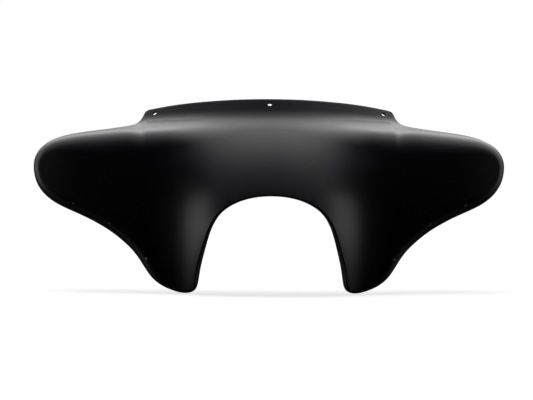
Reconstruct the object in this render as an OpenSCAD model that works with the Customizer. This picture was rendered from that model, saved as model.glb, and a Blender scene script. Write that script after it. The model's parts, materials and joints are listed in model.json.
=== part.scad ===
// Motorcycle fairing shell: one moulded sheet with a windshield flange along the top,
// a turned-back rim round both wings and both legs, and a folded lip round the
// headlight arch. Millimetres. Upright as it stands on the motorcycle: +Z up, the
// front faces -Y, +X is to the right of someone looking at the front. The origin is
// the middle windshield hole, on its axis and halfway through the sheet.

/* [Overall size] */
// Width across the two wing tips
overall_w = 846; // [780:2:900]
// Height from the leg tips to the top of the windshield flange
overall_h = 340; // [310:2:370]
// Depth from the nose over the headlight arch to the rear edge
overall_d = 298; // [270:1:330]

/* [Sheet] */
// Thickness of the formed sheet
wall_t = 3.8; // [3:0.1:4.5]
// Outside radius of the fold at the headlight arch
fold_r = 1.5; // [1:0.5:3]

/* [Windshield flange] */
// Lean of the flange, back from upright, in degrees
flange_lean = 43; // [40:1:46]
// Diameter of the three windshield holes
screen_hole_d = 8.4; // [6:0.2:10]
// Distance of the middle hole below the flange edge, along the flange
mid_hole_drop = 13; // [11:0.5:16]
// Distance of the two end holes below the flange edge, along the flange
end_hole_drop = 13; // [11:0.5:14]

/* [Bracket holes] */
// Diameter of the six holes along the lower rims
bracket_hole_d = 4.2; // [4:0.2:6.4]

/* [Smoothness] */
// Rows of facets down the face
face_rows = 8; // [6:1:10]
// Facets round each rolled edge
roll_steps = 4; // [3:1:5]
// Facets round the fillet under the flange
fillet_steps = 3; // [2:1:4]

/* [Hidden] */
shell_col = [0.06, 0.06, 0.065];

// The stations, face profiles and plan below are drawn for a shell 846 x 340 x 227.7
sc = [overall_w/846, overall_d/227.7, overall_h/340];
// Lean of the flange as drawn, before the stretch to the overall depth and height
drawn_lean = atan(tan(flange_lean)*sc[2]/sc[1]);

// ---- Face: how far the moulded face lies behind the nose, as y over (x, z) -------
// Height of the first profile value and the step between values
prof_z0 = -170;
prof_dz = 30;
// Profile on the centreline, from the legs up to the flange
centre_prof = [17, 4, -6, -13, -16, -11, 6, 27, 52, 85, 126, 176];
// Profile of the wings outboard of the cheek, at the same heights
wing_prof = [60, 53, 48.5, 46, 45, 45.5, 47, 49, 52, 56, 61, 67];
// Share of the wing profile every 20 mm out from the centreline: the cheek
cheek_dx = 20;
cheek = [0, 0, 0, .005, .04, .18, .44, .71, .89, .97, 1, 1, 1];
// The cheek leans out and spreads above the arch: its middle along x, the height
// where that begins, the height where it is full, how far out it is then and how
// much it has spread
cheek_mid = 125;
lean_z0 = 0;
lean_z1 = 80;
cheek_lean = 24;
cheek_spread = 0.4;
// Plan sweep of the wings, and the extra sweep near the tips
sweep = 0.35;
sweep_soft = 100;
tip_x = 330;
tip_sweep = 0.0014;

// Uniform cubic B-spline over the table t
function bs(t, x0, dx, x) =
    let (n = len(t), u = min(max((x - x0)/dx, 0), n - 1.0001), i = floor(u), f = u - i)
    (pow(1 - f, 3)*t[max(i - 1, 0)] + (3*f*f*f - 6*f*f + 4)*t[i]
     + (-3*f*f*f + 3*f*f + 3*f + 1)*t[min(i + 1, n - 1)] + f*f*f*t[min(i + 2, n - 1)])/6;

function face_y(x0, z) =
    let (x = abs(x0), t = min(max((z - lean_z0)/(lean_z1 - lean_z0), 0), 1), s = t*t*(3 - 2*t),
         xc = cheek_mid + (x - cheek_mid - cheek_lean*s)*(1 - cheek_spread*s),
         b = bs(cheek, 0, cheek_dx, xc))
    sweep*(sqrt(x*x + sweep_soft*sweep_soft) - sweep_soft)
    + tip_sweep*pow(max(0, x - tip_x), 2)
    + (1 - b)*bs(centre_prof, prof_z0, prof_dz, z) + b*bs(wing_prof, prof_z0, prof_dz, z);

function face_grad(x, z) =
    [face_y(x + .5, z) - face_y(x - .5, z), face_y(x, z + .5) - face_y(x, z - .5)];

// ---- Edge stations, from the middle of the flange round to the middle of the arch --
// Each row: where the face ends (x, z); the edge line of the rim (x, y, z); the tilt
// of the sheet there, in degrees from the frontal plane; 0 for a soft shoulder or 1
// for a rolled edge; the radius of the roll; the flat of the flange beyond the edge
// line; the length of the fillet under that flat.
stations = [
    // windshield flange
    [0, 126, 0, 148, 142, 60, 0, 20, 24, 29],
    [40, 122, 40, 150.5, 142, 60.5, 0, 20, 23.5, 29],
    [73, 112, 73, 156, 141.5, 62, 0, 20, 23.2, 29],
    [105, 98, 105, 164, 142, 66, 0, 32, 21.3, 29],
    [140, 84, 140, 174, 142.5, 70, .5, 66, 18.5, 29],
    [174, 73, 176, 186, 141.5, 73, 1, 60, 16.5, 28],
    [196, 69, 199, 194.5, 140.8, 74, 1, 58, 14.5, 26.5],
    [208, 68, 212, 199.5, 140, 75, 1, 56, 13.8, 26],
    // end of the flange
    [214, 67.7, 219.5, 202.5, 139, 75.5, 1, 54, 12, 26],
    [218, 67.5, 223.5, 204.5, 137.9, 75.5, 1, 53, 5, 28],
    [222, 67.5, 227, 206.5, 136.7, 76, 1, 52, 1.5, 24],
    [227, 67.5, 232, 209, 136, 77, 1, 52.5, 1.5, 16],
    [234, 68, 239.5, 212, 135, 79, 1, 53, 1.5, 7.5],
    [243, 68.5, 250, 215.5, 133.6, 81, 1, 53, 1.5, 3],
    // top of the wing
    [258, 69, 267, 219.5, 131.2, 83, 1, 53, 1.5, 2],
    [282, 69, 293, 223.5, 127.6, 84, 1, 53, 1.5, 2],
    [309, 67, 323.5, 225.5, 124, 84, 1, 51, 1.5, 2],
    [336, 66, 353.5, 226, 119.4, 84, 1, 47, 1.5, 2],
    [358, 67, 380, 225, 112.6, 84, 1, 39, 1.5, 2],
    [374, 67.5, 402, 222.5, 101.6, 84, 1, 34, 1.5, 2],
    // wing tip
    [384, 65, 414.5, 219, 87.5, 84, 1, 30, 1.5, 2],
    [388.5, 59.5, 422, 215, 70, 83, 1, 27, 1.5, 2],
    [389, 52, 421, 210.5, 48, 82, 1, 25, 1.5, 2],
    [386, 42.5, 414, 206, 26.6, 82, 1, 23, 1.5, 2],
    [378.5, 30.5, 399.2, 200.5, 8.2, 82, 1, 22, 1.5, 2],
    // lower edge of the wing
    [363, 17.5, 377.5, 194, -7, 82, 1, 23, 1.5, 2],
    [342, 8, 354, 186, -17.5, 82, 1, 25, 1.5, 2],
    [317, -3, 329, 177, -28, 82, 1, 26, 1.5, 2],
    [289, -17, 302, 164, -41, 82, 1, 26, 1.5, 2],
    [263, -32.5, 278, 153, -55, 82, 1, 26, 1.5, 2],
    [241.5, -50, 258, 144, -70, 82, 1, 25, 1.5, 2],
    [222, -69, 240, 136, -86, 82, 1, 25, 1.5, 2],
    [207, -89.5, 226, 129, -103.5, 82, 1, 24, 1.5, 2],
    [196, -109, 213.6, 122, -122.9, 82, 1, 20, 1.5, 2],
    [189, -123.5, 201.6, 116, -137.2, 82, 1, 15, 1.5, 2],
    // foot of the leg
    [179, -134.5, 186.3, 109, -147.8, 82, 1, 11, 1.5, 2],
    [167, -141, 171.2, 102, -153.9, 83, 1, 9.5, 1.5, 2],
    [157, -144.5, 157, 95, -158, 83, 1, 8, 1.5, 2],
    [148, -146, 145.5, 89, -158.9, 83, 1, 6, 1.5, 2],
    [142, -145.5, 136, 83, -157.3, 83, 1, 4, 1.5, 2],
    [138.5, -143, 129, 77, -152.8, 82, 1, 2.5, 1.5, 2],
    [137.5, -138, 125.2, 72, -145.6, 77, 1, 1.5, 1.5, 2],
    // folded lip of the headlight arch
    [136.5, -128, 123.3, 67, -135, 72, 1, 1, 1.5, 2],
    [134, -110, 120, 60, -114, 72, 1, 0, 1.5, 2],
    [130, -90, 115, 51, -94, 74, 1, 0, 1.5, 2],
    [125, -69, 109.5, 42, -74, 76, 1, 0, 1.5, 2],
    [119, -49, 103.5, 34, -54, 78, 1, 0, 1.5, 2],
    [112, -33, 97, 29, -39, 80, 1, 0, 1.5, 2],
    [102, -18, 89, 25, -25.9, 82, 1, 0, 1.5, 2],
    [89.5, -3, 77.3, 23, -14.4, 84, 1, 0, 1.5, 2],
    [72, 6.5, 62, 21.5, -5.4, 85, 1, 0, 1.5, 2],
    [51, 13.5, 44, 20.5, 1.6, 87, 1, 0, 1.5, 2],
    [25.5, 17.5, 22.5, 20, 6, 88, 1, 0, 1.5, 2],
    [0, 18.5, 0, 20, 7.3, 89, 1, 0, 1.5, 2]
];
n_st = len(stations);
// Stations where the wing tip begins and ends
tip_a = 20;
tip_b = 24;
// Columns of the face: station on the upper edge, station on the lower edge, and the
// number of columns since the row before
columns = [[0, 53, 0], [1, 52, 2], [2, 51, 2], [3, 49.5, 3], [4, 46, 3], [5, 41.5, 4],
           [6, 39, 3], [7, 37, 2], [10, 35.5, 5], [13, 33.5, 4], [14, 32, 2], [15, 30, 2],
           [16, 28.5, 2], [17, 27, 2], [18.3, 26, 2], [20, 24, 3]];
// Bracket holes: station, and the tilt of the sheet where the hole is drilled
bracket_at = [[26.2, 36], [28.7, 40], [32.2, 36]];
// Station of the end windshield holes
end_hole_at = 6.42;

function mirrored(r) = [-r[0], r[1], -r[2], r[3], r[4], r[5], r[6], r[7], r[8], r[9]];
function knot(i) = i < 0 ? mirrored(stations[-i])
    : i >= n_st ? mirrored(stations[2*n_st - 2 - i]) : stations[i];
// Smooth station anywhere along the edge, through the rows above
function station(s) =
    let (i = min(floor(s), n_st - 2), f = s - i,
         a = knot(i - 1), b = knot(i), c = knot(i + 1), d = knot(i + 2))
    0.5*(2*b + (c - a)*f + (2*a - 5*b + 4*c - d)*f*f + (3*b - a - 3*c + d)*f*f*f);

// ---- Section across the rim at one station --------------------------------------
// Advance along an arc of length l that turns by turn degrees from direction th
function arc_step(th, turn, l) =
    let (r = abs(turn) < 1e-4 ? l : l*sin(turn/2)/(turn/2*PI/180))
    [r*cos(th + turn/2), r*sin(th + turn/2)];

// [station, width, direction, face y, face tilt, radius, depth, run before the roll]
function section(s, r_min) =
    let (k = station(s), v = [k[2] - k[0], k[4] - k[1]], w = norm(v), e = v/w,
         h0 = face_y(k[0], k[1]), al = atan(face_grad(k[0], k[1])*e), T = k[5],
         R = max(k[7], r_min), dy = k[3] - h0,
         a = w - R*(sin(T) - sin(al)), b = dy - R*(cos(al) - cos(T)),
         run = (a*sin(T) - b*cos(T))/sin(T - al))
    [k, w, e, h0, al, R, dy, run];

// Point (outward, back) and tilt on the roll of section q, at sheet tilt th
function roll_pt(q, th) =
    [q[7]*cos(q[4]) + q[5]*(sin(th) - sin(q[4])),
     q[7]*sin(q[4]) + q[5]*(cos(q[4]) - cos(th)), th];

function fold_row(q, j, nb) =
    j == nb ? [q[1], q[6], q[0][5]]
    : roll_pt(q, q[4] + (q[0][5] - q[4])*(j - 1)/(nb - 2));

function soft_row(q, j, nb) =
    let (t = j/nb, c = 0.37*norm([q[1], q[6]]), al = q[4], T = q[0][5],
         p1 = [c*cos(al), c*sin(al)], p3 = [q[1], q[6]], p2 = p3 - [c*cos(T), c*sin(T)],
         p = 3*t*(1 - t)*(1 - t)*p1 + 3*t*t*(1 - t)*p2 + t*t*t*p3,
         d = (1 - t)*(1 - t)*p1 + 2*t*(1 - t)*(p2 - p1) + t*t*(p3 - p2))
    [p[0], p[1], atan2(d[1], d[0])];

// Turn of the sheet through the fillet, cut short where the flange runs out
function fillet_turn(k) = (drawn_lean - k[5])*min(1, max(0, (k[9] - 2)/27));

function rim_row(q, j, nb, nf) =
    j == 0 ? [0, 0, q[4]]
    : j <= nb ? (q[0][6] == 1 ? fold_row(q, j, nb)
                 : q[0][6]*fold_row(q, j, nb) + (1 - q[0][6])*soft_row(q, j, nb))
    : let (k = q[0], T = k[5], tn = fillet_turn(k), m = min(j - nb, nf),
           s1 = arc_step(T, tn*m/nf, k[9]*m/nf), th = T + tn*m/nf,
           fl = j > nb + nf ? k[8] : 0)
      [q[1] + s1[0] + fl*cos(th), q[6] + s1[1] + fl*sin(th), th];

// Place a section row in space; side is 1 on the right and -1 on the left
function place(q, r, side) =
    [sc[0]*side*(q[0][0] + q[2][0]*r[0]), sc[1]*(q[3] + r[1]), sc[2]*(q[0][1] + q[2][1]*r[0])];
function tangent(q, r, side) =
    [sc[0]*side*q[2][0]*cos(r[2]), sc[1]*sin(r[2]), sc[2]*q[2][1]*cos(r[2])];
function unit(v) = v/norm(v);
function face_normal(x, z) =
    let (g = face_grad(x, z)) unit([g[0]/sc[0], -1/sc[1], g[1]/sc[2]]);

// ---- Holes ------------------------------------------------------------------------
// Length along the flange as drawn, for one millimetre along the finished flange
drop_k = cos(flange_lean)/(sc[2]*cos(drawn_lean));
// Point on the flange, drop mm below its edge, and the outward normal there
function flange_pt(s, drop, side) =
    let (q = section(s, fold_r), k = q[0], tn = fillet_turn(k), s1 = arc_step(k[5], tn, k[9]),
         th = k[5] + tn, f = k[8] - drop*drop_k)
    place(q, [q[1] + s1[0] + f*cos(th), q[6] + s1[1] + f*sin(th)], side);
function flange_n(s, drop, side) =
    let (q = section(s, fold_r), th = q[0][5] + fillet_turn(q[0]),
         a = flange_pt(s + .05, drop, side) - flange_pt(max(s - .05, 0), drop, side))
    unit(cross(side*a, tangent(q, [0, 0, th], side)));
function rim_pt(s, th, side) = let (q = section(s, fold_r)) place(q, roll_pt(q, th), side);
function rim_n(s, th, side) =
    let (q = section(s, fold_r), a = rim_pt(s + .05, th, side) - rim_pt(s - .05, th, side))
    unit(cross(side*a, tangent(q, [0, 0, th], side)));

// The middle windshield hole is the origin
mid_n = [0, -cos(flange_lean), sin(flange_lean)];
origin = flange_pt(0, mid_hole_drop, 1) - wall_t/2*mid_n;

module bore(p, n, d) {
    // square to the sheet, through its thickness only
    az = atan2(n[1], n[0]);
    tilt = acos(n[2]);
    translate(p - origin) rotate([0, tilt, az]) translate([0, 0, -wall_t - 5])
        cylinder(d = d, h = wall_t + 9, $fn = 48);
}

// ---- Shell ------------------------------------------------------------------------
// Station pairs of the columns, spread between the rows of the columns table
col_st = concat([[0, n_st - 1]], [for (r = [1:len(columns) - 1], k = [1:columns[r][2]])
    let (a = columns[r - 1], b = columns[r], f = k/columns[r][2])
    [a[0] + (b[0] - a[0])*f, a[1] + (b[1] - a[1])*f]]);
nu = len(col_st) - 1;
nv = face_rows;
nb = roll_steps + 2;
nf = fillet_steps;
rows = nb + nf + 1;

// Face grid of the right half: straight columns, bent to the wing tip near the tip
top_in = [for (c = col_st) let (k = station(c[0])) [k[0], k[1]]];
low_in = [for (c = col_st) let (k = station(c[1])) [k[0], k[1]]];
tip_in = [for (j = [0:nv]) let (k = station(tip_a + (tip_b - tip_a)*j/nv)) [k[0], k[1]]];
function grid_pt(i, j) =
    let (v = j/nv, u = pow(i/nu, 4))
    (1 - v)*top_in[i] + v*low_in[i]
    + u*(tip_in[j] - ((1 - v)*top_in[nu] + v*low_in[nu]));
half = [for (i = [0:nu]) [for (j = [0:nv]) grid_pt(i, j)]];
// Whole grid, left tip to right tip
grid = [for (i = [-nu:nu], j = [0:nv]) let (p = half[abs(i)][j]) [i < 0 ? -p[0] : p[0], p[1]]];
face_out = [for (p = grid) [sc[0]*p[0], sc[1]*face_y(p[0], p[1]), sc[2]*p[1]]];
face_in = [for (i = [0:len(grid) - 1]) face_out[i] - wall_t*face_normal(grid[i][0], grid[i][1])];

// Stations round the whole edge, clockwise from the top as seen from the front
loop_st = concat(
    [for (c = col_st) [c[0], 1]],
    [for (j = [1:nv - 1]) [tip_a + (tip_b - tip_a)*j/nv, 1]],
    [for (i = [nu:-1:0]) [col_st[i][1], 1]],
    [for (i = [1:nu]) [col_st[i][1], -1]],
    [for (j = [nv - 1:-1:1]) [tip_a + (tip_b - tip_a)*j/nv, -1]],
    [for (i = [nu:-1:1]) [col_st[i][0], -1]]);
nl = len(loop_st);
// Face grid index of each loop station
loop_face = concat(
    [for (i = [0:nu]) (nu + i)*(nv + 1)],
    [for (j = [1:nv - 1]) 2*nu*(nv + 1) + j],
    [for (i = [nu:-1:-nu]) (nu + i)*(nv + 1) + nv],
    [for (j = [nv - 1:-1:1]) j],
    [for (i = [nu:-1:1]) (nu - i)*(nv + 1)]);

function ring_points(r_min, inward) =
    let (qs = [for (l = loop_st) section(l[0], r_min)],
         rr = [for (q = qs) [for (j = [1:rows]) rim_row(q, j, nb, nf)]],
         pp = [for (l = [0:nl - 1]) [for (j = [0:rows - 1]) place(qs[l], rr[l][j], loop_st[l][1])]])
    [for (j = [0:rows - 1]) [for (l = [0:nl - 1])
        inward == 0 ? pp[l][j]
        : let (a = pp[(l + 1) % nl][j] - pp[(l + nl - 1) % nl][j])
          pp[l][j] - inward*unit(cross(a, tangent(qs[l], rr[l][j], loop_st[l][1])))]];
rings_out = ring_points(fold_r, 0);
// Inside of the sheet: the same section with a fold the sheet can turn round
rings_in = ring_points(wall_t + 2, wall_t);

nface = len(grid);
shell_pts = concat(face_out, [for (r = rings_out, p = r) p],
    [for (j = [rows - 1:-1:0], p = rings_in[j]) p], face_in);
// Index of loop point l on ring k: 0 is the face, 2*rows + 1 the inside of the face
function ring_ix(k, l) =
    k == 0 ? loop_face[l % nl]
    : k == 2*rows + 1 ? nface + 2*rows*nl + loop_face[l % nl]
    : nface + (k - 1)*nl + l % nl;
function gi(i, j, inner) = (inner ? nface + 2*rows*nl : 0) + i*(nv + 1) + j;
// Two triangles from a clockwise quad, split either way
function two(a, b, c, d, way) = way ? [[a, b, c], [a, c, d]] : [[a, b, d], [b, c, d]];
shell_faces = concat(
    [for (i = [0:2*nu - 1], j = [0:nv - 1],
          t = two(gi(i, j, false), gi(i + 1, j, false), gi(i + 1, j + 1, false), gi(i, j + 1, false), i >= nu)) t],
    [for (i = [0:2*nu - 1], j = [0:nv - 1],
          t = two(gi(i, j + 1, true), gi(i + 1, j + 1, true), gi(i + 1, j, true), gi(i, j, true), i < nu)) t],
    [for (k = [0:2*rows], l = [0:nl - 1],
          t = two(ring_ix(k, l), ring_ix(k + 1, l), ring_ix(k + 1, l + 1), ring_ix(k, l + 1), l < nl/2)) t]);

module fairing_shell() {
    color(shell_col) difference() {
        translate(-origin) polyhedron(points = shell_pts, faces = shell_faces, convexity = 12);
        bore(flange_pt(0, mid_hole_drop, 1), mid_n, screen_hole_d);
        for (side = [-1, 1]) {
            bore(flange_pt(end_hole_at, end_hole_drop, side),
                 flange_n(end_hole_at, end_hole_drop, side), screen_hole_d);
            for (h = bracket_at)
                bore(rim_pt(h[0], h[1], side), rim_n(h[0], h[1], side), bracket_hole_d);
        }
    }
}

fairing_shell();
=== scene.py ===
import json
import math

import bmesh
import bpy
import numpy as np
from mathutils import Matrix, Vector
from mathutils.bvhtree import BVHTree


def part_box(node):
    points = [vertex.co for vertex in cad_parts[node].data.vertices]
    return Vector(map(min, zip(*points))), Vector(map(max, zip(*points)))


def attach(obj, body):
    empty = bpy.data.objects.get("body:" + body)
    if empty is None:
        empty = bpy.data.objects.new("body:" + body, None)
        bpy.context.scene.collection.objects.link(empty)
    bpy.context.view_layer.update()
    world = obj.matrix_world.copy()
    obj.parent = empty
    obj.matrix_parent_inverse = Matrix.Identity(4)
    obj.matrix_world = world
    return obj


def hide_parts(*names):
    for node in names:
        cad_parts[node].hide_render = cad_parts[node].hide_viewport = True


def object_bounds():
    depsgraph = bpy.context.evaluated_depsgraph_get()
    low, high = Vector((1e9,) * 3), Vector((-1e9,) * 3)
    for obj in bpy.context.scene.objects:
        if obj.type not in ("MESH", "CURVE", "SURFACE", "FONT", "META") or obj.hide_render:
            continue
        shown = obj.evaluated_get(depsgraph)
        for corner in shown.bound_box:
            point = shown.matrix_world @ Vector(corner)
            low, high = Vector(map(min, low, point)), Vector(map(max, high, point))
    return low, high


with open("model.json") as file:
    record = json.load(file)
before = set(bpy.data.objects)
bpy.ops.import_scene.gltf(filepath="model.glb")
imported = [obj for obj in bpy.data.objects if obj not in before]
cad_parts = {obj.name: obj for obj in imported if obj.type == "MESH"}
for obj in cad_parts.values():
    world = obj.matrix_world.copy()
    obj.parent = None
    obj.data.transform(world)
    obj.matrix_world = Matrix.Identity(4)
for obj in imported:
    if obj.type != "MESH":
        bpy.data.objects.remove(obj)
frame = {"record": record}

CAD_BOX = [list(v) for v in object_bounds()]
scene = bpy.context.scene

# ---------------------------------------------------------------------------
# Shell geometry, in millimetres behind the nose (y) and above camera height (z)
# ---------------------------------------------------------------------------
WALL = 3.8
FOLD_R = 1.5
DEEP = 298 / 227.7    # the face and the stations are drawn 227.7 deep and stretched
LEAN = math.atan(math.tan(math.radians(43)) / DEEP)
EDGE_R = 0.7          # eased corner of the trimmed sheet
ORIGIN = np.array([0, 232.317, 170.098])

PROF_Z0, PROF_DZ = -170, 30
CENTRE = np.array([17, 4, -6, -13, -16, -11, 6, 27, 52, 85, 126, 176], float)
WING = np.array([60, 53, 48.5, 46, 45, 45.5, 47, 49, 52, 56, 61, 67], float)
CHEEK_DX = 20
CHEEK = np.array([0, 0, 0, .005, .04, .18, .44, .71, .89, .97, 1, 1, 1], float)
CHEEK_MID, LEAN_Z0, LEAN_Z1, CHEEK_LEAN, CHEEK_SPREAD = 125, 0, 80, 24, 0.4
SWEEP, SWEEP_SOFT, TIP_X, TIP_SWEEP = 0.35, 100, 330, 0.0014

# face end x z | edge line x y z | tilt | soft 0 or rolled 1 | radius | flat | fillet
STATIONS = np.array([
    [0, 126, 0, 148, 142, 60, 0, 20, 24, 29],
    [40, 122, 40, 150.5, 142, 60.5, 0, 20, 23.5, 29],
    [73, 112, 73, 156, 141.5, 62, 0, 20, 23.2, 29],
    [105, 98, 105, 164, 142, 66, 0, 32, 21.3, 29],
    [140, 84, 140, 174, 142.5, 70, .5, 66, 18.5, 29],
    [174, 73, 176, 186, 141.5, 73, 1, 60, 16.5, 28],
    [196, 69, 199, 194.5, 140.8, 74, 1, 58, 14.5, 26.5],
    [208, 68, 212, 199.5, 140, 75, 1, 56, 13.8, 26],
    [214, 67.7, 219.5, 202.5, 139, 75.5, 1, 54, 12, 26],
    [218, 67.5, 223.5, 204.5, 137.9, 75.5, 1, 53, 5, 28],
    [222, 67.5, 227, 206.5, 136.7, 76, 1, 52, 1.5, 24],
    [227, 67.5, 232, 209, 136, 77, 1, 52.5, 1.5, 16],
    [234, 68, 239.5, 212, 135, 79, 1, 53, 1.5, 7.5],
    [243, 68.5, 250, 215.5, 133.6, 81, 1, 53, 1.5, 3],
    [258, 69, 267, 219.5, 131.2, 83, 1, 53, 1.5, 2],
    [282, 69, 293, 223.5, 127.6, 84, 1, 53, 1.5, 2],
    [309, 67, 323.5, 225.5, 124, 84, 1, 51, 1.5, 2],
    [336, 66, 353.5, 226, 119.4, 84, 1, 47, 1.5, 2],
    [358, 67, 380, 225, 112.6, 84, 1, 39, 1.5, 2],
    [374, 67.5, 402, 222.5, 101.6, 84, 1, 34, 1.5, 2],
    [384, 65, 414.5, 219, 87.5, 84, 1, 30, 1.5, 2],
    [388.5, 59.5, 422, 215, 70, 83, 1, 27, 1.5, 2],
    [389, 52, 421, 210.5, 48, 82, 1, 25, 1.5, 2],
    [386, 42.5, 414, 206, 26.6, 82, 1, 23, 1.5, 2],
    [378.5, 30.5, 399.2, 200.5, 8.2, 82, 1, 22, 1.5, 2],
    [363, 17.5, 377.5, 194, -7, 82, 1, 23, 1.5, 2],
    [342, 8, 354, 186, -17.5, 82, 1, 25, 1.5, 2],
    [317, -3, 329, 177, -28, 82, 1, 26, 1.5, 2],
    [289, -17, 302, 164, -41, 82, 1, 26, 1.5, 2],
    [263, -32.5, 278, 153, -55, 82, 1, 26, 1.5, 2],
    [241.5, -50, 258, 144, -70, 82, 1, 25, 1.5, 2],
    [222, -69, 240, 136, -86, 82, 1, 25, 1.5, 2],
    [207, -89.5, 226, 129, -103.5, 82, 1, 24, 1.5, 2],
    [196, -109, 213.6, 122, -122.9, 82, 1, 20, 1.5, 2],
    [189, -123.5, 201.6, 116, -137.2, 82, 1, 15, 1.5, 2],
    [179, -134.5, 186.3, 109, -147.8, 82, 1, 11, 1.5, 2],
    [167, -141, 171.2, 102, -153.9, 83, 1, 9.5, 1.5, 2],
    [157, -144.5, 157, 95, -158, 83, 1, 8, 1.5, 2],
    [148, -146, 145.5, 89, -158.9, 83, 1, 6, 1.5, 2],
    [142, -145.5, 136, 83, -157.3, 83, 1, 4, 1.5, 2],
    [138.5, -143, 129, 77, -152.8, 82, 1, 2.5, 1.5, 2],
    [137.5, -138, 125.2, 72, -145.6, 77, 1, 1.5, 1.5, 2],
    [136.5, -128, 123.3, 67, -135, 72, 1, 1, 1.5, 2],
    [134, -110, 120, 60, -114, 72, 1, 0, 1.5, 2],
    [130, -90, 115, 51, -94, 74, 1, 0, 1.5, 2],
    [125, -69, 109.5, 42, -74, 76, 1, 0, 1.5, 2],
    [119, -49, 103.5, 34, -54, 78, 1, 0, 1.5, 2],
    [112, -33, 97, 29, -39, 80, 1, 0, 1.5, 2],
    [102, -18, 89, 25, -25.9, 82, 1, 0, 1.5, 2],
    [89.5, -3, 77.3, 23, -14.4, 84, 1, 0, 1.5, 2],
    [72, 6.5, 62, 21.5, -5.4, 85, 1, 0, 1.5, 2],
    [51, 13.5, 44, 20.5, 1.6, 87, 1, 0, 1.5, 2],
    [25.5, 17.5, 22.5, 20, 6, 88, 1, 0, 1.5, 2],
    [0, 18.5, 0, 20, 7.3, 89, 1, 0, 1.5, 2],
], float)
N_ST = len(STATIONS)
TIP_A, TIP_B = 20, 24
COLUMNS = [[0, 53, 0], [1, 52, 2], [2, 51, 2], [3, 49.5, 3], [4, 46, 3], [5, 41.5, 4],
           [6, 39, 3], [7, 37, 2], [10, 35.5, 5], [13, 33.5, 4], [14, 32, 2], [15, 30, 2],
           [16, 28.5, 2], [17, 27, 2], [18.3, 26, 2], [20, 24, 3]]
FINE = 4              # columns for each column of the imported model
NV = 36               # rows down the face
NB, NF, NFLAT = 15, 8, 4   # rows round the roll, the fillet and the flat
NE = 4                # rows round each eased corner


def bspline(t, x0, dx, x):
    n = len(t)
    u = np.clip((np.asarray(x, float) - x0) / dx, 0, n - 1.0001)
    i = np.floor(u).astype(int)
    f = u - i
    g = lambda k: t[np.clip(k, 0, n - 1)]
    return ((1 - f) ** 3 * g(i - 1) + (3 * f ** 3 - 6 * f ** 2 + 4) * g(i)
            + (-3 * f ** 3 + 3 * f ** 2 + 3 * f + 1) * g(i + 1) + f ** 3 * g(i + 2)) / 6


def face_y(x, z):
    x = np.abs(x)
    t = np.clip((z - LEAN_Z0) / (LEAN_Z1 - LEAN_Z0), 0, 1)
    s = t * t * (3 - 2 * t)
    xc = CHEEK_MID + (x - CHEEK_MID - CHEEK_LEAN * s) * (1 - CHEEK_SPREAD * s)
    b = bspline(CHEEK, 0, CHEEK_DX, xc)
    return (SWEEP * (np.sqrt(x * x + SWEEP_SOFT ** 2) - SWEEP_SOFT)
            + TIP_SWEEP * np.maximum(0, x - TIP_X) ** 2
            + (1 - b) * bspline(CENTRE, PROF_Z0, PROF_DZ, z)
            + b * bspline(WING, PROF_Z0, PROF_DZ, z))


def face_grad(x, z):
    return (face_y(x + .5, z) - face_y(x - .5, z), face_y(x, z + .5) - face_y(x, z - .5))


def mirrored(r):
    r = r.copy()
    r[[0, 2]] *= -1
    return r


def smooth_stations(spread=0.42, step=0.05, pad=4):
    """The stations, read finely round the edge and evened out along it."""
    knots = np.array([mirrored(STATIONS[-i]) if i < 0
                      else mirrored(STATIONS[2 * N_ST - 2 - i]) if i >= N_ST
                      else STATIONS[i] for i in range(-pad - 1, N_ST + pad + 1)])
    s = np.arange(-pad, N_ST - 1 + pad + step / 2, step)
    i = np.minimum(np.floor(s + 1e-9).astype(int), N_ST - 2 + pad)
    f = (s - i)[:, None]
    k = i + pad + 1
    a, b, c, d = knots[k - 1], knots[k], knots[k + 1], knots[np.minimum(k + 2, len(knots) - 1)]
    v = 0.5 * (2 * b + (c - a) * f + (2 * a - 5 * b + 4 * c - d) * f * f
               + (3 * b - a - 3 * c + d) * f ** 3)
    h = int(4 * spread / step)
    w = np.exp(-0.5 * (np.arange(-h, h + 1) * step / spread) ** 2)
    w /= w.sum()
    out = np.stack([np.convolve(v[:, j], w, "same") for j in range(v.shape[1])], 1)
    return s, out


S_FINE, V_FINE = smooth_stations()


def station(s):
    return np.stack([np.interp(s, S_FINE, V_FINE[:, j]) for j in range(10)], -1)


def arc_step(th, turn, length):
    small = np.abs(turn) < 1e-5
    r = np.where(small, length, length * np.sin(turn / 2) / np.where(small, 1, turn / 2))
    return r * np.cos(th + turn / 2), r * np.sin(th + turn / 2)


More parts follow.
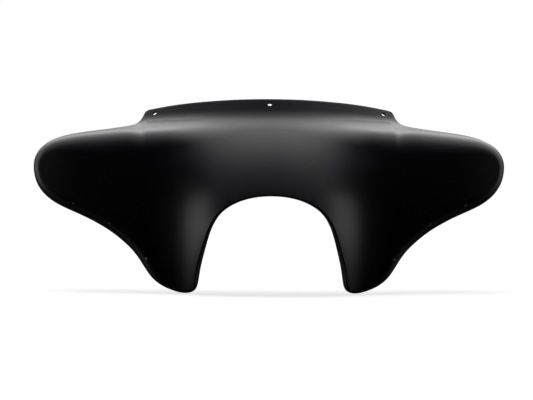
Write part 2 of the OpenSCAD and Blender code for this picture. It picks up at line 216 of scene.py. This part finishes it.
def sections(k, r_min):
    """Rows (outward, back, tilt) of every section, and what places them."""
    ex, ez = k[:, 2] - k[:, 0], k[:, 4] - k[:, 1]
    w = np.hypot(ex, ez)
    ex, ez = ex / w, ez / w
    h0 = face_y(k[:, 0], k[:, 1])
    gx, gz = face_grad(k[:, 0], k[:, 1])
    al = np.arctan(gx * ex + gz * ez)
    T = np.radians(k[:, 5])
    R = np.maximum(k[:, 7], r_min)
    dy = k[:, 3] - h0
    a = w - R * (np.sin(T) - np.sin(al))
    b = dy - R * (np.cos(al) - np.cos(T))
    run = (a * np.sin(T) - b * np.cos(T)) / np.sin(T - al)
    c = 0.37 * np.hypot(w, dy)
    soft = k[:, 6]
    rows = []
    for j in range(1, NB + 1):
        if j == NB:
            fe, fy, ft = w, dy, T
        else:
            ft = al + (T - al) * (j - 1) / (NB - 2)
            fe = run * np.cos(al) + R * (np.sin(ft) - np.sin(al))
            fy = run * np.sin(al) + R * (np.cos(al) - np.cos(ft))
        t = j / NB
        p1 = c * np.cos(al), c * np.sin(al)
        p2 = w - c * np.cos(T), dy - c * np.sin(T)
        q = [3 * t * (1 - t) ** 2 * p1[m] + 3 * t * t * (1 - t) * p2[m] + t ** 3 * (w, dy)[m]
             for m in (0, 1)]
        d = [(1 - t) ** 2 * p1[m] + 2 * t * (1 - t) * (p2[m] - p1[m])
             + t * t * ((w, dy)[m] - p2[m]) for m in (0, 1)]
        st = np.arctan2(d[1], d[0])
        rows.append([soft * fe + (1 - soft) * q[0], soft * fy + (1 - soft) * q[1],
                     soft * ft + (1 - soft) * st])
    turn = (LEAN - T) * np.clip((k[:, 9] - 2) / 27, 0, 1)
    for m in range(1, NF + 1):
        e, y = arc_step(T, turn * m / NF, k[:, 9] * m / NF)
        rows.append([w + e, dy + y, T + turn * m / NF])
    e, y = arc_step(T, turn, k[:, 9])
    th = T + turn
    for m in range(1, NFLAT + 1):
        f = np.maximum(k[:, 8] - EDGE_R, 0.2) * m / NFLAT
        rows.append([w + e + f * np.cos(th), dy + y + f * np.sin(th), th])
    return np.array(rows).transpose(2, 0, 1), ex, ez, h0


def ring(k, side, r_min):
    rows, ex, ez, h0 = sections(k, r_min)
    sx = side[:, None]
    P = np.stack([sx * (k[:, 0:1] + ex[:, None] * rows[..., 0]), h0[:, None] + rows[..., 1],
                  k[:, 1:2] + ez[:, None] * rows[..., 0]], -1)
    T = np.stack([sx * ex[:, None] * np.cos(rows[..., 2]), DEEP * np.sin(rows[..., 2]),
                  ez[:, None] * np.cos(rows[..., 2])], -1)
    P[..., 1] *= DEEP
    T /= np.linalg.norm(T, axis=2, keepdims=True)
    along = np.roll(P, -1, 0) - np.roll(P, 1, 0)
    N = np.cross(along, T)
    N /= np.linalg.norm(N, axis=2, keepdims=True)
    return P, T, N


# ---- Face grid and the loop round it -------------------------------------------------
top_s, low_s = [float(COLUMNS[0][0])], [float(COLUMNS[0][1])]
for a, b in zip(COLUMNS[:-1], COLUMNS[1:]):
    n = b[2] * FINE
    for k in range(1, n + 1):
        top_s.append(a[0] + (b[0] - a[0]) * k / n)
        low_s.append(a[1] + (b[1] - a[1]) * k / n)
top_s, low_s = np.array(top_s), np.array(low_s)
NU = len(top_s) - 1
tip_s = TIP_A + (TIP_B - TIP_A) * np.arange(NV + 1) / NV
top_in, low_in, tip_in = station(top_s)[:, :2], station(low_s)[:, :2], station(tip_s)[:, :2]
v = (np.arange(NV + 1) / NV)[None, :, None]
u = (np.arange(NU + 1) / NU)[:, None, None] ** 4
half = ((1 - v) * top_in[:, None] + v * low_in[:, None]
        + u * (tip_in[None] - ((1 - v) * top_in[NU] + v * low_in[NU])))
left = half[:0:-1].copy()
left[..., 0] *= -1
grid = np.concatenate([left, half], 0).reshape(-1, 2)
face_out = np.stack([grid[:, 0], DEEP * face_y(grid[:, 0], grid[:, 1]), grid[:, 1]], 1)
gx, gz = face_grad(grid[:, 0], grid[:, 1])
fn = np.stack([gx, -np.full_like(gx, 1 / DEEP), gz], 1)
fn /= np.linalg.norm(fn, axis=1, keepdims=True)
face_in = face_out - WALL * fn

M = NV + 1
mid = tip_s[1:-1]
loop_s = np.concatenate([top_s, mid, low_s[::-1], low_s[1:], mid[::-1], top_s[:0:-1]])
half_n = len(top_s) + len(mid) + len(low_s)
loop_side = np.where(np.arange(len(loop_s)) < half_n, 1.0, -1.0)
loop_face = np.array([(NU + i) * M for i in range(NU + 1)]
                     + [2 * NU * M + j for j in range(1, NV)]
                     + [(NU + i) * M + NV for i in range(NU, -NU - 1, -1)]
                     + [j for j in range(NV - 1, 0, -1)]
                     + [(NU - i) * M for i in range(NU, 0, -1)])
NL = len(loop_s)

k = station(loop_s)
Po, To, No = ring(k, loop_side, FOLD_R)
Pi_, Ti, Ni = ring(k, loop_side, WALL + 2)
Pi = Pi_ - WALL * Ni

# eased corners of the trimmed edge: outer corner, then inner corner
oe, ot, on = Po[:, -1], To[:, -1], No[:, -1]
ie, it, in_ = Pi[:, -1], Ti[:, -1], Ni[:, -1]
edge = []
for m in range(1, NE + 1):
    a = math.pi / 2 * m / NE
    edge.append(oe + EDGE_R * math.sin(a) * ot - EDGE_R * (1 - math.cos(a)) * on)
for m in range(NE, 0, -1):
    a = math.pi / 2 * m / NE
    edge.append(ie + EDGE_R * math.sin(a) * it + EDGE_R * (1 - math.cos(a)) * in_)

R_OUT = Po.shape[1]
rings = [Po[:, j] for j in range(R_OUT)] + edge + [Pi[:, j] for j in range(R_OUT - 1, -1, -1)]
NR = len(rings)
NFACE = len(grid)
points = np.concatenate([face_out] + rings + [face_in], 0)
points = (points - ORIGIN) / 1000
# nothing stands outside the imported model's box
lo, hi = (np.array(c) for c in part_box("fairing_shell"))
points = np.clip(points, lo, hi)


def ring_ix(r):
    if r == 0:
        return loop_face
    if r == NR + 1:
        return NFACE + NR * NL + loop_face
    return NFACE + (r - 1) * NL + np.arange(NL)


faces, zone = [], []
I, J = np.meshgrid(np.arange(2 * NU), np.arange(NV), indexing="ij")
a, b, c, d = (I * M + J).ravel(), ((I + 1) * M + J).ravel(), ((I + 1) * M + J + 1).ravel(), (I * M + J + 1).ravel()
faces.append(np.stack([d, c, b, a], 1))
zone.append(np.zeros(len(a), int))
base = NFACE + NR * NL
faces.append(np.stack([a, b, c, d], 1) + base)
zone.append(np.ones(len(a), int))
for r in range(NR + 1):
    p, q = ring_ix(r), ring_ix(r + 1)
    faces.append(np.stack([np.roll(p, -1), np.roll(q, -1), q, p], 1))
    z = 0 if r < R_OUT else 1 if r > R_OUT + 2 * NE else 2
    zone.append(np.full(NL, z))
faces = np.concatenate(faces, 0)
zone = np.concatenate(zone, 0)


def make_mesh(name, verts, quads):
    me = bpy.data.meshes.new(name)
    me.from_pydata([tuple(p) for p in verts], [], [tuple(int(x) for x in f) for f in quads])
    me.update()
    return me


# ---------------------------------------------------------------------------
# Materials
# ---------------------------------------------------------------------------
def node(nt, kind, **props):
    n = nt.nodes.new(kind)
    for key, value in props.items():
        setattr(n, key, value)
    return n


def plastic(name, colour, rough, rough_swing, grain, grain_size, wave, smudge):
    """Formed plastic: fine grain, the sheet's slight waviness and soft handling marks."""
    m = bpy.data.materials.new(name)
    m.use_nodes = True
    nt = m.node_tree
    nt.nodes.clear()
    out = node(nt, "ShaderNodeOutputMaterial")
    sh = node(nt, "ShaderNodeBsdfPrincipled")
    nt.links.new(sh.outputs[0], out.inputs["Surface"])
    sh.inputs["IOR"].default_value = 1.5
    tc = node(nt, "ShaderNodeTexCoord")
    obj = tc.outputs["Object"]

    # colour: black pigment with a very slight cloudiness
    cloud = node(nt, "ShaderNodeTexNoise")
    cloud.inputs["Scale"].default_value = 9
    cloud.inputs["Detail"].default_value = 4
    nt.links.new(obj, cloud.inputs["Vector"])
    ramp = node(nt, "ShaderNodeValToRGB")
    ramp.color_ramp.elements[0].position = .3
    ramp.color_ramp.elements[1].position = .7
    ramp.color_ramp.elements[0].color = (*[c * .88 for c in colour], 1)
    ramp.color_ramp.elements[1].color = (*[c * 1.12 for c in colour], 1)
    nt.links.new(cloud.outputs["Fac"], ramp.inputs["Fac"])
    nt.links.new(ramp.outputs["Color"], sh.inputs["Base Color"])

    # roughness: slow drift, and faint smudges from handling
    drift = node(nt, "ShaderNodeTexNoise")
    drift.inputs["Scale"].default_value = 6
    drift.inputs["Detail"].default_value = 3
    nt.links.new(obj, drift.inputs["Vector"])
    r1 = node(nt, "ShaderNodeMapRange")
    r1.inputs["From Min"].default_value = .3
    r1.inputs["From Max"].default_value = .7
    r1.inputs["To Min"].default_value = rough - rough_swing
    r1.inputs["To Max"].default_value = rough + rough_swing
    nt.links.new(drift.outputs["Fac"], r1.inputs["Value"])
    smear = node(nt, "ShaderNodeTexNoise")
    smear.inputs["Scale"].default_value = 38
    smear.inputs["Detail"].default_value = 5
    smear.inputs["Roughness"].default_value = .6
    nt.links.new(obj, smear.inputs["Vector"])
    r2 = node(nt, "ShaderNodeMapRange")
    r2.inputs["From Min"].default_value = .52
    r2.inputs["From Max"].default_value = .72
    r2.inputs["To Min"].default_value = 0
    r2.inputs["To Max"].default_value = smudge
    nt.links.new(smear.outputs["Fac"], r2.inputs["Value"])
    add = node(nt, "ShaderNodeMath", operation="ADD")
    nt.links.new(r1.outputs["Result"], add.inputs[0])
    nt.links.new(r2.outputs["Result"], add.inputs[1])
    nt.links.new(add.outputs[0], sh.inputs["Roughness"])

    # relief: fine grain over a slow wave of the formed sheet
    fine = node(nt, "ShaderNodeTexNoise")
    fine.inputs["Scale"].default_value = 1 / grain_size
    fine.inputs["Detail"].default_value = 2
    nt.links.new(obj, fine.inputs["Vector"])
    b1 = node(nt, "ShaderNodeBump")
    b1.inputs["Strength"].default_value = 1
    b1.inputs["Distance"].default_value = grain
    nt.links.new(fine.outputs["Fac"], b1.inputs["Height"])
    slow = node(nt, "ShaderNodeTexNoise")
    slow.inputs["Scale"].default_value = 14
    slow.inputs["Detail"].default_value = 1
    nt.links.new(obj, slow.inputs["Vector"])
    b2 = node(nt, "ShaderNodeBump")
    b2.inputs["Strength"].default_value = 1
    b2.inputs["Distance"].default_value = wave
    nt.links.new(slow.outputs["Fac"], b2.inputs["Height"])
    nt.links.new(b2.outputs["Normal"], b1.inputs["Normal"])
    nt.links.new(b1.outputs["Normal"], sh.inputs["Normal"])
    return m


front = plastic("shell_front", (.0034, .0035, .0085), .33, .02, .00001, .0011, .00006, .03)
back = plastic("shell_back", (.028, .028, .029), .56, .04, .00003, .0009, .00008, .05)
cut = plastic("shell_cut_edge", (.004, .004, .0042), .55, .05, .00003, .0006, .00002, .04)
# light grey walls for the bracket holes: painted light, standing in for the light that shows in these holes; the
# sheet itself is black right through
painted_hole_light = plastic("shell_drilling_painted_light", (.24, .24, .24), .6, .05, .00003, .0006, .00002, .04)

# ---------------------------------------------------------------------------
# Shell, with its holes drilled square to the sheet and their corners eased
# ---------------------------------------------------------------------------
me = make_mesh("shell", points, faces)
for m in (front, back, cut, painted_hole_light):
    me.materials.append(m)
me.polygons.foreach_set("material_index", zone.astype(np.int32))
raw = bpy.data.objects.new("shell_raw", me)
scene.collection.objects.link(raw)
bpy.context.view_layer.update()
tree = BVHTree.FromPolygons([v.co for v in me.vertices], [tuple(p.vertices) for p in me.polygons])

cutter = bmesh.new()
SEG = 64
for mount in frame["record"]["mounts"]:
    pos, axis = Vector(mount["pos_m"]), Vector(mount["axis"]).normalized()
    r = mount["dims"]["r_mm"] / 1000
    hit_o = tree.ray_cast(pos + axis * .012, -axis)[0]
    hit_i = tree.ray_cast(pos - axis * .012, axis)[0]
    do, di = (hit_o - pos).dot(axis), (hit_i - pos).dot(axis)
    ease = .00012
    prof = [(do + .004, r + ease + .004), (do - ease, r), (di + ease, r), (di - .004, r + ease + .004)]
    # bracket holes get the light grey walls (painted light in the holes); the windshield holes keep the dark cut
    # edge
    wall = 3 if mount["name"].startswith("bracket") else 2
    turn = axis.to_track_quat("Z", "Y").to_matrix()
    loops = []
    for h, rad in prof:
        loops.append([cutter.verts.new(pos + turn @ Vector((rad * math.cos(2 * math.pi * i / SEG),
                                                            rad * math.sin(2 * math.pi * i / SEG), h)))
                      for i in range(SEG)])
    for A, B in zip(loops[:-1], loops[1:]):
        for i in range(SEG):
            j = (i + 1) % SEG
            cutter.faces.new((A[j], A[i], B[i], B[j])).material_index = wall
    cutter.faces.new(loops[0]).material_index = 2
    cutter.faces.new(loops[-1][::-1]).material_index = 2
bmesh.ops.recalc_face_normals(cutter, faces=cutter.faces)
cme = bpy.data.meshes.new("cutter")
cutter.to_mesh(cme)
cutter.free()
for m in (front, back, cut, painted_hole_light):
    cme.materials.append(m)
cob = bpy.data.objects.new("cutter", cme)
scene.collection.objects.link(cob)

mod = raw.modifiers.new("holes", "BOOLEAN")
mod.operation = "DIFFERENCE"
mod.solver = "EXACT"
mod.object = cob
bpy.context.view_layer.update()
dg = bpy.context.evaluated_depsgraph_get()
done = bpy.data.meshes.new_from_object(raw.evaluated_get(dg))
shell = bpy.data.objects.new("formed_shell", done)
scene.collection.objects.link(shell)
bpy.data.objects.remove(raw)
bpy.data.objects.remove(cob)
done.name = "formed_shell"
done.shade_smooth()
done.set_sharp_from_angle(angle=math.radians(32))

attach(shell, "root")
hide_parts("fairing_shell")

# ---------------------------------------------------------------------------
# Floor, light and camera
# ---------------------------------------------------------------------------
floor_z = CAD_BOX[0][2] - 0.0005
fme = make_mesh("floor", [(-9, -9, floor_z), (9, -9, floor_z), (9, 9, floor_z), (-9, 9, floor_z)],
                [(0, 1, 2, 3)])
floor = bpy.data.objects.new("floor", fme)
scene.collection.objects.link(floor)
fm = bpy.data.materials.new("floor")
fm.use_nodes = True
fb = fm.node_tree.nodes["Principled BSDF"]
fb.inputs["Base Color"].default_value = (.86, .86, .86, 1)
fb.inputs["Roughness"].default_value = .9
fb.inputs["Specular IOR Level"].default_value = .1
fb.inputs["Emission Color"].default_value = (1, 1, 1, 1)
fb.inputs["Emission Strength"].default_value = .73
fme.materials.append(fm)
floor.visible_glossy = False
floor.visible_diffuse = False

# world: white to the camera; to the gloss of the shell, a soft studio that is dark in
# front and bright above and behind
world = bpy.data.worlds.new("studio")
scene.world = world
world.use_nodes = True
nt = world.node_tree
nt.nodes.clear()
out = node(nt, "ShaderNodeOutputWorld")
tc = node(nt, "ShaderNodeTexCoord")
sep = node(nt, "ShaderNodeSeparateXYZ")
nt.links.new(tc.outputs["Generated"], sep.inputs[0])


def ramp_of(socket, stops, ease="EASE"):
    """A brightness curve over -1..1 of one direction component."""
    mr = node(nt, "ShaderNodeMapRange")
    mr.inputs["From Min"].default_value = -1
    mr.inputs["From Max"].default_value = 1
    nt.links.new(socket, mr.inputs["Value"])
    cr = node(nt, "ShaderNodeValToRGB")
    cr.color_ramp.interpolation = ease
    while len(cr.color_ramp.elements) < len(stops):
        cr.color_ramp.elements.new(.5)
    for el, (p, val) in zip(cr.color_ramp.elements, stops):
        el.position = (p + 1) / 2
        el.color = (val, val, val, 1)
    nt.links.new(mr.outputs["Result"], cr.inputs["Fac"])
    return cr.outputs["Color"]


def math_of(op, a, b):
    n = node(nt, "ShaderNodeMath", operation=op)
    for i, x in enumerate((a, b)):
        if isinstance(x, (int, float)):
            n.inputs[i].default_value = x
        else:
            nt.links.new(x, n.inputs[i])
    return n.outputs[0]


# y of the direction: -1 in front of the shell, +1 behind it
over_y = ramp_of(sep.outputs["Y"], [(-.756, .001), (-.5625, .004), (-.4574, .010), (-.347, .018), (-.161, .022),
                                    (-.04, .025), (.014, .038), (.066, .068), (.167, .127), (.263, .168),
                                    (.354, .2), (.44, .232), (.561, .285), (.674, .37), (.78, .66), (.878, 1)],
                "LINEAR")
side_y = ramp_of(sep.outputs["Y"], [(-.68, .003), (-.5625, .006), (-.4574, .03), (-.347, .05), (-.161, .055),
                                    (-.04, .065), (.066, .09), (.128, .14), (.197, .36), (.263, .66),
                                    (.327, .98), (.397, 1.2), (.481, .95), (.561, .45), (.71, .1), (.878, .04)],
                "LINEAR")
lift = ramp_of(sep.outputs["Z"], [(.15, 0), (.4, .5), (.65, 1)], "EASE")
fall = ramp_of(sep.outputs["Z"], [(-.7, .02), (-.4, .1), (-.2, .35), (-.06, .85), (.05, 1)], "LINEAR")
over_x = ramp_of(sep.outputs["X"], [(-.5, .92), (-.25, 1), (-.08, .97), (0, .94), (.08, .99), (.25, 1.2),
                                    (.5, 1.38)], "LINEAR")
side_x = ramp_of(sep.outputs["X"], [(-.6, 1.25), (0, 1), (.6, .89)], "LINEAR")
over = math_of("MULTIPLY", math_of("MULTIPLY", over_y, over_x), 4.4)
sides = math_of("MULTIPLY", math_of("MULTIPLY", side_y, fall), math_of("MULTIPLY", side_x, 1.3))
wide = node(nt, "ShaderNodeMix", data_type="FLOAT")
nt.links.new(lift, wide.inputs[0])
nt.links.new(sides, wide.inputs[2])
nt.links.new(over, wide.inputs[3])
level = math_of("ADD", wide.outputs[0], 0)
gloss = node(nt, "ShaderNodeBackground")
nt.links.new(level, gloss.inputs["Strength"])
soft = node(nt, "ShaderNodeBackground")
soft.inputs["Color"].default_value = (1, 1, 1, 1)
soft.inputs["Strength"].default_value = .03
seen = node(nt, "ShaderNodeBackground")
seen.inputs["Color"].default_value = (1, 1, 1, 1)
seen.inputs["Strength"].default_value = 1.0
lp = node(nt, "ShaderNodeLightPath")
mix1 = node(nt, "ShaderNodeMixShader")
nt.links.new(lp.outputs["Is Glossy Ray"], mix1.inputs[0])
nt.links.new(soft.outputs[0], mix1.inputs[1])
nt.links.new(gloss.outputs[0], mix1.inputs[2])
mix2 = node(nt, "ShaderNodeMixShader")
nt.links.new(lp.outputs["Is Camera Ray"], mix2.inputs[0])
nt.links.new(mix1.outputs[0], mix2.inputs[1])
nt.links.new(seen.outputs[0], mix2.inputs[2])
nt.links.new(mix2.outputs[0], out.inputs["Surface"])


sun = bpy.data.lights.new("overhead", "SUN")
sun.energy = 1.1
sun.angle = math.radians(50)
sun_o = bpy.data.objects.new("overhead", sun)
sun_o.rotation_euler = (math.radians(-8), math.radians(-6), 0)
sun_o.visible_glossy = False
scene.collection.objects.link(sun_o)

# soft light from behind and above, for the bare back of the shell only
rear = bpy.data.lights.new("rear", "SUN")
rear.energy = 4.2
rear.angle = math.radians(40)
rear_o = bpy.data.objects.new("rear", rear)
rear_o.rotation_euler = (math.radians(-62), 0, math.radians(12))
rear_o.visible_glossy = False
scene.collection.objects.link(rear_o)
only_shell = bpy.data.collections.new("only_shell")
only_shell.objects.link(shell)
rear_o.light_linking.receiver_collection = only_shell

cam_data = bpy.data.cameras.new("camera")
cam = bpy.data.objects.new("camera", cam_data)
scene.collection.objects.link(cam)
cam_data.sensor_width = 36
cam_data.lens = 1567 * DEEP * 36 / 533
cam_data.clip_start, cam_data.clip_end = .05, 60
YAW, DIST, ROLL = math.radians(1.48) / DEEP, 2.600 * DEEP, math.radians(.234)
cam.location = (-DIST * math.sin(YAW), -DIST * math.cos(YAW) - ORIGIN[1] / 1000, -ORIGIN[2] / 1000)
head = YAW - math.atan(5.5 / (1567 * DEEP))
look = Vector((math.sin(head), math.cos(head), .64 / (1567 * DEEP)))
cam.rotation_mode = "QUATERNION"
cam.rotation_quaternion = (look.to_track_quat("-Z", "Y").to_matrix()
                           @ Matrix.Rotation(ROLL, 3, "Z")).to_quaternion()
scene.camera = cam

scene.view_settings.view_transform = "Standard"
scene.view_settings.look = "None"
scene.view_settings.exposure = 0
scene.view_settings.gamma = 1
